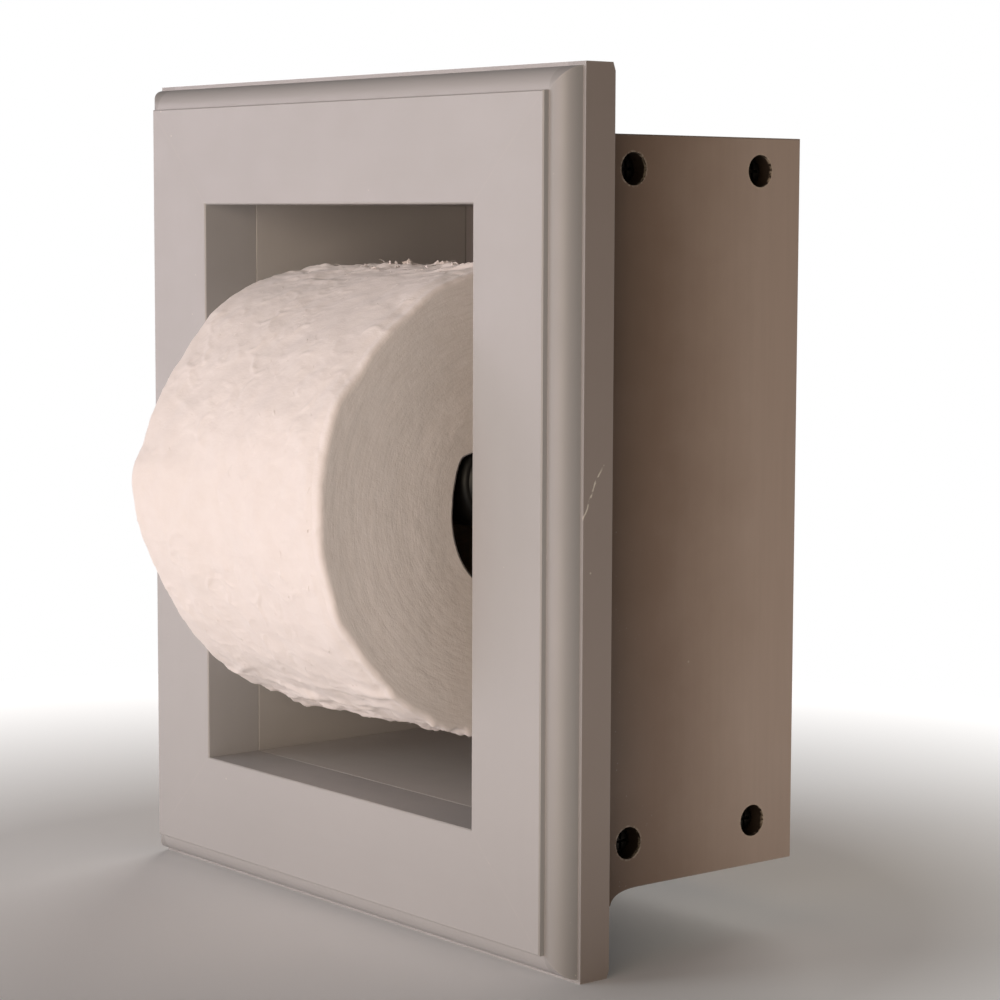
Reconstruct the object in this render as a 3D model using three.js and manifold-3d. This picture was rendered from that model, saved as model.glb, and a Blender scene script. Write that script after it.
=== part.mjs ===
// Recessed wooden toilet paper holder: a mitred face frame on a screwed board box that stands in
// the wall, with a sprung roller and a roll of paper.
// Millimetres. X to the right, Y into the wall, Z up. The origin is the centre of the opening,
// on the wall's surface, which is where the back of the face frame lies.

import * as THREE from "three";
import { mergeVertices } from "three/addons/utils/BufferGeometryUtils.js";
import Module from "manifold-3d";

const wasm = await Module();
wasm.setup();

// ---- Driving dimensions -------------------------------------------------------------------

const BOARD = 19.05; // every board is planed three-quarter stock
const OPENING = { width: 131.4, height: 171.45 };
const HALF_W = OPENING.width / 2;
const HALF_H = OPENING.height / 2;
const GAP = 0.3; // between pieces that are cut to fit each other
const EASE = 0.4; // sanded-off edges of the box boards

// Face frame moulding, as distances outwards from the opening and in depth.
const LAND = 29.4; // flat front face
const FACE_EASE = 0.35; // the front arrises
const STEP = 1.9; // drop from the land to the moulding
const ROUND = 6.35; // quarter-round radius
const LIP = 1.1; // narrow fillet outside the quarter round
const FRAME_WIDTH = LAND + ROUND + LIP;
const BACK_EASE = { depth: 0.6, width: 0.8 }; // rear outer edge of the stiles
const BACK_BEVEL = { depth: 1.4, width: 4 }; // rear outer edge of the rails, from side to side
const SEAT = 0.35; // rebate in the back of the frame that the box stands in
const ROUND_STEPS = 12;

// Box behind the frame.
const BOX_BACK = 86.1; // rear face, from the wall's surface
const BACK_PANEL = 3.2; // plywood
const RABBET = { width: 9.5, depth: BACK_PANEL + GAP };
const FOOT = { drop: 4.1, land: 15.5, sweep: 11 }; // swept lower front corner of each side

// Assembly screws, through the sides into the ends of the top and bottom boards.
const SCREW_DEPTHS = [22, 70]; // from the wall's surface
const SCREW_TOP_INSET = 9.4;
const SCREW_BOTTOM_INSET = 13;
const COUNTERBORE = { radius: 4.6, depth: 6.35 };
const SCREW = { length: 45, radius: 2, headRadius: 4.1, headHeight: 2.6, tip: 7 };
const RECESS = { reach: 2.3, width: 0.9, depth: 1.3 };
const SCREW_SIDES = 16;

// Finish nails: through the frame into the box, and through the back panel into the sides.
const NAIL = { radius: 0.8, headRadius: 1.3, headHeight: 1, sides: 8 };
const FRAME_NAIL = { length: 36, set: 2.6, sideReach: 51, endReach: 22 };
const PANEL_NAIL = { length: 19, set: 0.2, inset: 4.6, reach: 60 };

// Sprung roller: two telescoping halves with end pins in sockets in the side boards.
const ROLLER = { y: 10, z: 7.5, pinRadius: 4.5, pinEnd: 70.7, shoulder: 63.7, wall: 2.5 };
const SLEEVE = { radius: 14, mouth: -14 };
const NECK = { from: 36.5, to: 42, radius: 11, boreFrom: 28, bore: 9.5, steps: 6 }; // of the sleeve
const SLIDE_CLEARANCE = 0.25;
const PLUNGER = { radius: 12, mouth: 8, bore: 9.8 };
const SOCKET = { radius: 5.2, depth: 6 };
const REST_CLEARANCE = 0.15;
const SPRING = { radius: 8.2, wire: 0.7, turns: 12, stepsPerTurn: 12, sides: 6 };
const ROLLER_SIDES = 32;

// Roll of paper, hanging on the roller by the inside of its core.
const ROLL_WIDTH = 91;
const CORE = { inner: 20.5, outer: 21.3 };
const PAPER = { inner: 21.45, outer: 65.8, edge: 1.6 };
const ROLL = { y: ROLLER.y, z: ROLLER.z - (CORE.inner - SLEEVE.radius - 0.2) };
const ROLL_SIDES = 64;
const OUTER_SHEET = { thickness: 0.8, lift: 0.3, bulge: 2.4, from: 90, to: 262, steps: 40 };

// ---- Materials ----------------------------------------------------------------------------

const material = (color, roughness, metalness = 0) =>
  new THREE.MeshStandardMaterial({ color, roughness, metalness });
const paint = () => material(0xb9aea9, 0.5);
const plywood = () => material(0xb49468, 0.75);
const blackScrew = () => material(0x1a1816, 0.35, 0.9);
const brightNail = () => material(0x9a9a9c, 0.4, 1);
const blackPlastic = () => material(0x0c0b0a, 0.2);
const springSteel = () => material(0xa6a8aa, 0.3, 1);
const cardboard = () => material(0x9c7f5e, 0.9);
const tissue = () => material(0xf1e6dc, 0.95);

// ---- Solids -------------------------------------------------------------------------------

// Proper rotations that turn an extrusion made along Z so that it runs along X or Y. The shape's
// own axes become (Y, Z) for an extrusion along X, and (Z, X) for one along Y.
const RUN = {
  x: new THREE.Matrix4().set(0, 0, 1, 0, 1, 0, 0, 0, 0, 1, 0, 0, 0, 0, 0, 1),
  y: new THREE.Matrix4().set(0, 1, 0, 0, 0, 0, 1, 0, 1, 0, 0, 0, 0, 0, 0, 1),
  z: new THREE.Matrix4(),
};

function shapeFrom(points) {
  return new THREE.Shape(points.map(([u, v]) => new THREE.Vector2(u, v)));
}

// The shape, run along an axis from one place to another. With ease, both ends are chamfered by
// that much and the sides stand out from the shape by it.
function extrude(shape, axis, from, to, ease = 0) {
  const geometry = new THREE.ExtrudeGeometry(shape, {
    depth: to - from - 2 * ease,
    bevelEnabled: ease > 0,
    bevelThickness: ease,
    bevelSize: ease,
    bevelSegments: 1,
  });
  geometry.translate(0, 0, from + ease);
  return geometry.applyMatrix4(RUN[axis]);
}

// A box with all its edges eased, from its lowest to its highest corner.
function easedBox([x0, y0, z0], [x1, y1, z1], ease = EASE) {
  const clip = ease * (Math.SQRT2 - 1);
  const [l, r, b, t] = [x0 + ease, x1 - ease, y0 + ease, y1 - ease];
  const outline = [
    [l + clip, b], [r - clip, b], [r, b + clip], [r, t - clip],
    [r - clip, t], [l + clip, t], [l, t - clip], [l, b + clip],
  ];
  return extrude(shapeFrom(outline), "z", z0, z1, ease);
}

function plainBox([x0, y0, z0], [x1, y1, z1]) {
  const geometry = new THREE.BoxGeometry(x1 - x0, y1 - y0, z1 - z0);
  return geometry.translate((x0 + x1) / 2, (y0 + y1) / 2, (z0 + z1) / 2);
}

// A solid of revolution about X, from [x, radius] points that start and end on the axis or close.
function turnedAboutX(points, sides) {
  const profile = points.map(([x, radius]) => new THREE.Vector2(radius, x));
  return new THREE.LatheGeometry(profile, sides).rotateZ(-Math.PI / 2);
}

// A plain round bar or drill about X or Y, through the point [x, y, z] of its other two axes.
function bar(axis, radius, from, to, [x, y, z], sides) {
  const geometry = new THREE.CylinderGeometry(radius, radius, to - from, sides);
  geometry.translate(0, (from + to) / 2, 0);
  if (axis === "x") {
    geometry.rotateZ(-Math.PI / 2);
    return geometry.translate(0, y, z);
  }
  return geometry.translate(x, 0, z);
}

function solidOf(geometry) {
  const bare = geometry.clone();
  bare.deleteAttribute("normal");
  bare.deleteAttribute("uv");
  const welded = mergeVertices(bare, 1e-4);
  return new wasm.Manifold(
    new wasm.Mesh({
      numProp: 3,
      vertProperties: welded.attributes.position.array,
      triVerts: new Uint32Array(welded.index.array),
    }),
  );
}

function geometryOf(solid) {
  const { vertProperties, triVerts } = solid.getMesh();
  const geometry = new THREE.BufferGeometry();
  geometry.setAttribute("position", new THREE.BufferAttribute(vertProperties, 3));
  geometry.setIndex(new THREE.BufferAttribute(triVerts, 1));
  geometry.computeVertexNormals();
  return geometry;
}

function cut(geometry, tools) {
  const remove = (solid, tool) => solid.subtract(solidOf(tool));
  return geometryOf(tools.reduce(remove, solidOf(geometry)));
}

const holder = new THREE.Group();

function addMesh(parent, name, geometry, look) {
  const mesh = new THREE.Mesh(geometry, look);
  mesh.name = name;
  parent.add(mesh);
  return mesh;
}

// ---- Face frame ---------------------------------------------------------------------------

// One member's section, [outwards from the opening, depth from the wall's surface].
function frameSection(rear) {
  const front = -BOARD;
  const moulding = front + STEP;
  const quarter = [];
  for (let i = 0; i <= ROUND_STEPS; i++) {
    const angle = (Math.PI / 2) * (i / ROUND_STEPS);
    quarter.push([LAND + ROUND * Math.sin(angle), moulding + ROUND * (1 - Math.cos(angle))]);
  }
  return [
    [0, -SEAT],
    [0, front + FACE_EASE],
    [FACE_EASE, front],
    [LAND - FACE_EASE, front],
    [LAND, front + FACE_EASE],
    ...quarter,
    [FRAME_WIDTH, moulding + ROUND],
    [FRAME_WIDTH, -rear.depth],
    [FRAME_WIDTH - rear.width, 0],
    [BOARD + GAP, 0],
    [BOARD + GAP, -SEAT],
  ];
}

// What the rails' rear bevel takes off a stile's upper (level = 1) or lower (level = -1) end.
function bevelTool(level) {
  const end = HALF_H + FRAME_WIDTH;
  const outline = [
    [-BACK_BEVEL.depth, end],
    [0, end - BACK_BEVEL.width],
    [1, end - BACK_BEVEL.width],
    [1, end + 1],
    [-BACK_BEVEL.depth, end + 1],
  ];
  const shape = shapeFrom(outline.map(([y, z]) => [y, level * z]));
  return extrude(shape, "x", HALF_W - 1, HALF_W + FRAME_WIDTH + 1);
}

// A member on the +X side, half = distance of the opening's edge from its centre, run = half of
// the opening's length along Z. Both ends are mitred, and nails stand nailReach from its middle.
function frameMember({ half, run, reach: nailReach, rear, tools }) {
  const bore = NAIL.headRadius + GAP;
  const section = frameSection(rear).map(([outwards, depth]) => [half + outwards, depth]);
  const geometry = extrude(shapeFrom(section), "z", -1, 1);
  const position = geometry.attributes.position;
  for (let i = 0; i < position.count; i++) {
    position.setZ(i, Math.sign(position.getZ(i)) * (run + position.getX(i) - half));
  }
  const bores = [-nailReach, nailReach].map((z) =>
    bar("y", bore, -BOARD + FRAME_NAIL.set, GAP, [half + BOARD / 2, 0, z], NAIL.sides),
  );
  return cut(geometry, [...bores, ...tools]);
}

const STILE = {
  half: HALF_W,
  run: HALF_H,
  reach: FRAME_NAIL.sideReach,
  rear: BACK_EASE,
  tools: [bevelTool(1), bevelTool(-1)],
};
const RAIL = {
  half: HALF_H,
  run: HALF_W,
  reach: FRAME_NAIL.endReach,
  rear: BACK_BEVEL,
  tools: [],
};
const MEMBERS = [
  { name: "right_stile", turn: 0, ...STILE },
  { name: "top_rail", turn: -Math.PI / 2, ...RAIL },
  { name: "left_stile", turn: Math.PI, ...STILE },
  { name: "bottom_rail", turn: Math.PI / 2, ...RAIL },
];

// A nail along Y with its head at the front, at its own group's [x, z].
function nailGeometry(length) {
  const { radius, headRadius, headHeight, sides } = NAIL;
  const outline = [
    [0, 0],
    [headRadius, 0],
    [headRadius, headHeight],
    [radius, headHeight + radius / 2],
    [radius, length - 2 * radius],
    [0, length],
  ];
  const profile = outline.map(([r, y]) => new THREE.Vector2(r, y));
  return new THREE.LatheGeometry(profile, sides);
}

for (const member of MEMBERS) {
  const { name, half, reach, turn } = member;
  const group = new THREE.Group();
  group.rotation.y = turn;
  addMesh(group, `frame_${name}`, frameMember(member), paint());
  for (const [i, z] of [-reach, reach].entries()) {
    const nailName = `frame_nail_${name}_${i + 1}`;
    const nail = addMesh(group, nailName, nailGeometry(FRAME_NAIL.length), brightNail());
    nail.position.set(half + BOARD / 2, -BOARD + FRAME_NAIL.set + GAP, z);
  }
  holder.add(group);
}

// ---- Box ----------------------------------------------------------------------------------

const BOX_HALF_H = HALF_H + BOARD;
const RABBET_FRONT = BOX_BACK - RABBET.depth;
const SCREW_HEIGHTS = {
  top: BOX_HALF_H - SCREW_TOP_INSET,
  bottom: -BOX_HALF_H + SCREW_BOTTOM_INSET,
};
const SOCKET_Z = ROLLER.z + SOCKET.radius - ROLLER.pinRadius - REST_CLEARANCE;
const SCREW_PLACES = Object.entries(SCREW_HEIGHTS).flatMap(([row, z]) =>
  SCREW_DEPTHS.map((y, i) => ({ row, y, z, number: i + 1 })),
);

const PANEL_NAIL_X = HALF_W + PANEL_NAIL.inset;
const PANEL_NAIL_PLACES = [1, -1].flatMap((side) =>
  [PANEL_NAIL.reach, -PANEL_NAIL.reach].map((z) => ({ x: side * PANEL_NAIL_X, z })),
);

// The part of a frame nail's bore that is in the box.
function frameNailBore(x, z) {
  const end = -BOARD + FRAME_NAIL.set + FRAME_NAIL.length + 2 * GAP;
  return bar("y", NAIL.headRadius + GAP, -BOARD, end, [x, 0, z], NAIL.sides);
}

// Outline of a side board in (Y, Z), shrunk by its eased edges: a rectangle with a foot at the
// lower front corner that sweeps up into the bottom edge.
function sideOutline() {
  const [front, back] = [-SEAT + EASE, BOX_BACK - EASE];
  const [low, high] = [-BOX_HALF_H + EASE, BOX_HALF_H - EASE];
  const shape = new THREE.Shape();
  shape.moveTo(front, high);
  shape.lineTo(front, low);
  shape.lineTo(EASE + GAP, low);
  shape.lineTo(EASE + GAP, low - FOOT.drop);
  shape.lineTo(FOOT.land, low - FOOT.drop);
  shape.quadraticCurveTo(FOOT.land + 1, low, FOOT.land + FOOT.sweep, low);
  shape.lineTo(back, low);
  shape.lineTo(back, high);
  return shape;
}

// The side board on the +X side: rabbeted for the back panel, with a blind socket for the
// roller's pin, counterbored screw holes and nail bores.
function sideBoard() {
  const outer = HALF_W + BOARD;
  const floor = outer - COUNTERBORE.depth;
  const rabbet = HALF_H + RABBET.width;
  const tools = [
    plainBox([HALF_W - 1, RABBET_FRONT, -rabbet], [HALF_W + RABBET.width, BOX_BACK + 1, rabbet]),
    bar("x", SOCKET.radius, HALF_W - 1, HALF_W + SOCKET.depth, [0, ROLLER.y, SOCKET_Z], ROLLER_SIDES),
  ];
  for (const { y, z } of SCREW_PLACES) {
    tools.push(bar("x", COUNTERBORE.radius, floor, outer + 1, [0, y, z], ROLLER_SIDES));
    tools.push(bar("x", SCREW.radius + GAP, HALF_W - 1, floor + 1, [0, y, z], SCREW_SIDES));
  }
  for (const z of [-FRAME_NAIL.sideReach, FRAME_NAIL.sideReach]) {
    tools.push(frameNailBore(HALF_W + BOARD / 2, z));
  }
  for (const z of [-PANEL_NAIL.reach, PANEL_NAIL.reach]) {
    const from = BOX_BACK - PANEL_NAIL.length - 1;
    tools.push(bar("y", NAIL.radius + GAP, from, BOX_BACK, [PANEL_NAIL_X, 0, z], NAIL.sides));
  }
  return cut(extrude(sideOutline(), "x", HALF_W, outer, EASE), tools);
}

function mirroredInX(geometry) {
  const mirror = geometry.clone().scale(-1, 1, 1);
  const corners = mirror.index.array;
  for (let i = 0; i < corners.length; i += 3) {
    [corners[i], corners[i + 1]] = [corners[i + 1], corners[i]];
  }
  return mirror;
}

// The board above (level = 1) or below (level = -1) the opening, between the sides.
function endBoard(level) {
  const [low, high] = level > 0 ? [HALF_H, HALF_H + BOARD] : [-HALF_H - BOARD, -HALF_H];
  const board = easedBox([-HALF_W, -SEAT, low], [HALF_W, BOX_BACK, high]);
  const lip = level * (HALF_H + RABBET.width);
  const inside = level * (HALF_H - 1);
  const tools = [
    plainBox(
      [-HALF_W - 1, RABBET_FRONT, Math.min(lip, inside)],
      [HALF_W + 1, BOX_BACK + 1, Math.max(lip, inside)],
    ),
  ];
  const pilot = SCREW.length - (BOARD - COUNTERBORE.depth) + 1;
  const z = level > 0 ? SCREW_HEIGHTS.top : SCREW_HEIGHTS.bottom;
  for (const y of SCREW_DEPTHS) {
    for (const [from, to] of [[-HALF_W - 1, -HALF_W + pilot], [HALF_W - pilot, HALF_W + 1]]) {
      tools.push(bar("x", SCREW.radius + GAP, from, to, [0, y, z], SCREW_SIDES));
    }
  }
  for (const x of [-FRAME_NAIL.endReach, FRAME_NAIL.endReach]) {
    tools.push(frameNailBore(x, level * (HALF_H + BOARD / 2)));
  }
  return cut(board, tools);
}

// Plywood panel in the rabbets, flush with the back of the box.
function backPanel() {
  const reach = RABBET.width - GAP;
  const board = plainBox(
    [-HALF_W - reach, BOX_BACK - BACK_PANEL, -HALF_H - reach],
    [HALF_W + reach, BOX_BACK, HALF_H + reach],
  );
  const headSeat = BOX_BACK - 2 * NAIL.headHeight;
  const tools = PANEL_NAIL_PLACES.flatMap(({ x, z }) => [
    bar("y", NAIL.radius + GAP, 0, BOX_BACK + 1, [x, 0, z], NAIL.sides),
    bar("y", NAIL.headRadius + GAP, headSeat, BOX_BACK + 1, [x, 0, z], NAIL.sides),
  ]);
  return cut(board, tools);
}

const rightSide = sideBoard();
addMesh(holder, "box_right_side", rightSide, paint());
addMesh(holder, "box_left_side", mirroredInX(rightSide), paint());
addMesh(holder, "box_top_board", endBoard(1), paint());
addMesh(holder, "box_bottom_board", endBoard(-1), paint());
addMesh(holder, "box_back_panel", backPanel(), plywood());
for (const [i, { x, z }] of PANEL_NAIL_PLACES.entries()) {
  const nail = addMesh(holder, `panel_nail_${i + 1}`, nailGeometry(PANEL_NAIL.length), brightNail());
  nail.rotation.x = Math.PI;
  nail.position.set(x, BOX_BACK - PANEL_NAIL.set, z);
}

// ---- Assembly screws ----------------------------------------------------------------------

// A pan-headed screw along X with its head at +X and the underside of the head at x = 0.
function screwGeometry() {
  const { length, radius, headRadius, headHeight, tip } = SCREW;
  const body = turnedAboutX(
    [
      [-length, 0],
      [-length + tip, radius],
      [0, radius],
      [0, headRadius],
      [headHeight * 0.45, headRadius],
      [headHeight * 0.85, headRadius * 0.8],
      [headHeight, headRadius * 0.5],
      [headHeight, 0],
    ],
    SCREW_SIDES,
  );
  const top = [headHeight - RECESS.depth, headHeight + 1];
  const [reach, half] = [RECESS.reach, RECESS.width / 2];
  return cut(body, [
    plainBox([top[0], -reach, -half], [top[1], reach, half]),
    plainBox([top[0], -half, -reach], [top[1], half, reach]),
  ]);
}

for (const side of [1, -1]) {
  for (const { row, y, z, number } of SCREW_PLACES) {
    const name = `screw_${side > 0 ? "right" : "left"}_${row}_${number}`;
    const screw = addMesh(holder, name, screwGeometry(), blackScrew());
    screw.rotation.y = side > 0 ? 0 : Math.PI;
    screw.position.set(side * (HALF_W + BOARD - COUNTERBORE.depth + GAP), y, z);
  }
}

// ---- Sprung roller ------------------------------------------------------------------------

// The closed end of a roller half at +X, from its barrel to the tip of its pin.
function rollerEnd(radius) {
  const { shoulder, pinRadius, pinEnd } = ROLLER;
  return [
    [shoulder - 2, radius],
    [shoulder - 0.6, radius - 0.6],
    [shoulder, radius - 2],
    [shoulder, pinRadius + 1],
    [shoulder + 1, pinRadius],
    [pinEnd - 1.2, pinRadius],
    [pinEnd, pinRadius - 1.2],
    [pinEnd, 0],
  ];
}

// The plunger, open at its mouth and closed at its +X end.
function plungerHalf() {
  const { radius, mouth, bore } = PLUNGER;
  const floor = ROLLER.shoulder - ROLLER.wall;
  const outline = [[floor, 0], [floor, bore], [-mouth, bore], [-mouth, radius], ...rollerEnd(radius)];
  return turnedAboutX(outline, ROLLER_SIDES);
}

// The sleeve: as the plunger, but drawn in by a rounded shoulder to a narrower neck at its end.
function sleeveHalf() {
  const { radius, mouth } = SLEEVE;
  const bore = PLUNGER.radius + SLIDE_CLEARANCE;
  const floor = ROLLER.shoulder - ROLLER.wall;
  const rounded = [];
  for (let i = 0; i <= NECK.steps; i++) {
    const angle = (Math.PI / 2) * (i / NECK.steps);
    const x = NECK.from + (NECK.to - NECK.from) * Math.sin(angle);
    rounded.push([x, NECK.radius + (radius - NECK.radius) * Math.cos(angle)]);
  }
  const inside = [[floor, 0], [floor, NECK.bore], [NECK.boreFrom, NECK.bore], [NECK.boreFrom - 1, bore]];
  const outline = [...inside, [mouth, bore], [mouth, radius], ...rounded, ...rollerEnd(NECK.radius)];
  return turnedAboutX(outline, ROLLER_SIDES);
}

class CoilCurve extends THREE.Curve {
  constructor(radius, length, turns) {
    super();
    Object.assign(this, { radius, length, turns });
  }
  getPoint(t, target = new THREE.Vector3()) {
    const angle = 2 * Math.PI * this.turns * t;
    const x = (t - 0.5) * this.length;
    return target.set(x, this.radius * Math.cos(angle), this.radius * Math.sin(angle));
  }
}

function springGeometry() {
  const { radius, wire, turns, stepsPerTurn, sides } = SPRING;
  const length = 2 * (ROLLER.shoulder - ROLLER.wall - wire - GAP);
  const section = new THREE.Shape();
  section.absarc(0, 0, wire, 0, 2 * Math.PI);
  return new THREE.ExtrudeGeometry(section, {
    extrudePath: new CoilCurve(radius, length, turns),
    steps: turns * stepsPerTurn,
    curveSegments: sides / 2,
    bevelEnabled: false,
  });
}

const roller = new THREE.Group();
roller.position.set(0, ROLLER.y, ROLLER.z);
addMesh(roller, "roller_sleeve", sleeveHalf(), blackPlastic());
const plunger = addMesh(roller, "roller_plunger", plungerHalf(), blackPlastic());
plunger.rotation.y = Math.PI;
addMesh(roller, "roller_spring", springGeometry(), springSteel());
holder.add(roller);

// ---- Roll of paper ------------------------------------------------------------------------

// A ring about X with its outer corners cut by edge.
function ring(inner, outer, edge) {
  const half = ROLL_WIDTH / 2;
  const outline = [
    [-half, inner],
    [-half, outer - edge],
    [-half + edge, outer],
    [half - edge, outer],
    [half, outer - edge],
    [half, inner],
    [-half, inner],
  ];
  return turnedAboutX(outline, ROLL_SIDES);
}

function coreTube() {
  const half = ROLL_WIDTH / 2;
  const { inner, outer } = CORE;
  const outline = [[-half, inner], [-half, outer], [half, outer], [half, inner], [-half, inner]];
  return turnedAboutX(outline, ROLL_SIDES);
}

// The last turn of paper, which lies loose over the front of the roll and stands off it most at
// the middle of its arc. Angles in degrees from +Y, over the top.
function outerSheet() {
  const { thickness, lift, bulge, from, to, steps } = OUTER_SHEET;
  const arc = (offset) =>
    Array.from({ length: steps + 1 }, (_, i) => {
      const share = i / steps;
      const angle = THREE.MathUtils.degToRad(from + (to - from) * share);
      const radius = PAPER.outer + lift + bulge * Math.sin(Math.PI * share) ** 2 + offset;
      return [radius * Math.cos(angle), radius * Math.sin(angle)];
    });
  const outline = [...arc(0), ...arc(thickness).reverse()];
  return extrude(shapeFrom(outline), "x", -ROLL_WIDTH / 2, ROLL_WIDTH / 2);
}

const roll = new THREE.Group();
roll.position.set(0, ROLL.y, ROLL.z);
addMesh(roll, "roll_core", coreTube(), cardboard());
addMesh(roll, "paper_roll", ring(PAPER.inner, PAPER.outer, PAPER.edge), tissue());
addMesh(roll, "paper_outer_sheet", outerSheet(), tissue());
holder.add(roll);

export default holder;
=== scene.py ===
"""Recessed wooden toilet paper holder: its looks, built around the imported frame."""

import math

import bpy
import numpy as np
from mathutils import Matrix, Vector


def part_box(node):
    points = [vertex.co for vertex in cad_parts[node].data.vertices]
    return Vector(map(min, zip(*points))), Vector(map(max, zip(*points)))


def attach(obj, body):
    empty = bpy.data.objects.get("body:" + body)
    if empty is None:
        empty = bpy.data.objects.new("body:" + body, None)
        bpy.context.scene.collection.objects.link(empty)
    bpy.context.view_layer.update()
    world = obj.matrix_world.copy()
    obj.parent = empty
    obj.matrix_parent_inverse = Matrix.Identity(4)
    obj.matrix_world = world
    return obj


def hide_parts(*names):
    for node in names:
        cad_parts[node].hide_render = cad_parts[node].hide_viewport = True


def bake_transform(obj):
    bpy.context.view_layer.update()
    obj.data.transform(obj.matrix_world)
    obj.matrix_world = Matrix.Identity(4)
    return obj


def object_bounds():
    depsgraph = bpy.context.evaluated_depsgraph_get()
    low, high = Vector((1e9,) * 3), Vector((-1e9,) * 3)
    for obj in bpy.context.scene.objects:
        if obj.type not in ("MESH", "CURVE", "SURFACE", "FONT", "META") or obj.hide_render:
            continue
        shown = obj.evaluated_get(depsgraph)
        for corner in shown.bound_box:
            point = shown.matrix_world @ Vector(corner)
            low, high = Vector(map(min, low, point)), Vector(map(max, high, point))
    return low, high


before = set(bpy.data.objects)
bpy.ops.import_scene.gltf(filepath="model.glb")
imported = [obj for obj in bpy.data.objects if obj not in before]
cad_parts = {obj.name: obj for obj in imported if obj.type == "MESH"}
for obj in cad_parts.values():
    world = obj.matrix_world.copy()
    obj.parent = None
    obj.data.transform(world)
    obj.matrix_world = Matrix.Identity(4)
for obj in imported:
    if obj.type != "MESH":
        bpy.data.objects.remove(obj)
cad_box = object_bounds()

MM = 0.001
SEED = 7


# ---- Small helpers for meshes ----------------------------------------------------------------


def add_object(name, points, faces, material, smooth=True):
    """A mesh object from points in metres and faces, in one material."""
    mesh = bpy.data.meshes.new(name)
    mesh.from_pydata(np.asarray(points, float).tolist(), [], [list(map(int, f)) for f in faces])
    mesh.update()
    mesh.materials.append(material)
    if smooth:
        mesh.polygons.foreach_set("use_smooth", [True] * len(mesh.polygons))
    obj = bpy.data.objects.new(name, mesh)
    bpy.context.scene.collection.objects.link(obj)
    return obj


def grid_faces(rows, columns, closed_rows=False, closed_columns=False, offset=0):
    """Quads of a grid whose point (i, j) is number i * columns + j."""
    last_i = rows if closed_rows else rows - 1
    last_j = columns if closed_columns else columns - 1
    i, j = np.meshgrid(np.arange(last_i), np.arange(last_j), indexing="ij")
    i, j = i.ravel(), j.ravel()
    i2, j2 = (i + 1) % rows, (j + 1) % columns
    return offset + np.stack([i * columns + j, i2 * columns + j, i2 * columns + j2, i * columns + j2], 1)


def smoothed_noise(shape, cell, rng, wrap=(False, False)):
    """Smooth random values of unit size on a grid, with bumps about `cell` grid points across."""
    out = rng.standard_normal(shape)
    for axis in (0, 1):
        size = shape[axis]
        frequency = np.fft.fftfreq(2 * size if not wrap[axis] else size)
        length = cell[axis]
        kernel = np.exp(-2 * (math.pi * frequency * length * 0.35) ** 2)
        padded = out if wrap[axis] else np.concatenate([out, np.flip(out, axis)], axis)
        spectrum = np.fft.fft(padded, axis=axis)
        shape_of_kernel = [1, 1]
        shape_of_kernel[axis] = len(kernel)
        padded = np.fft.ifft(spectrum * kernel.reshape(shape_of_kernel), axis=axis).real
        out = np.take(padded, np.arange(size), axis=axis)
    return out / max(out.std(), 1e-9)


# ---- Small helpers for materials -------------------------------------------------------------


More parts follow.
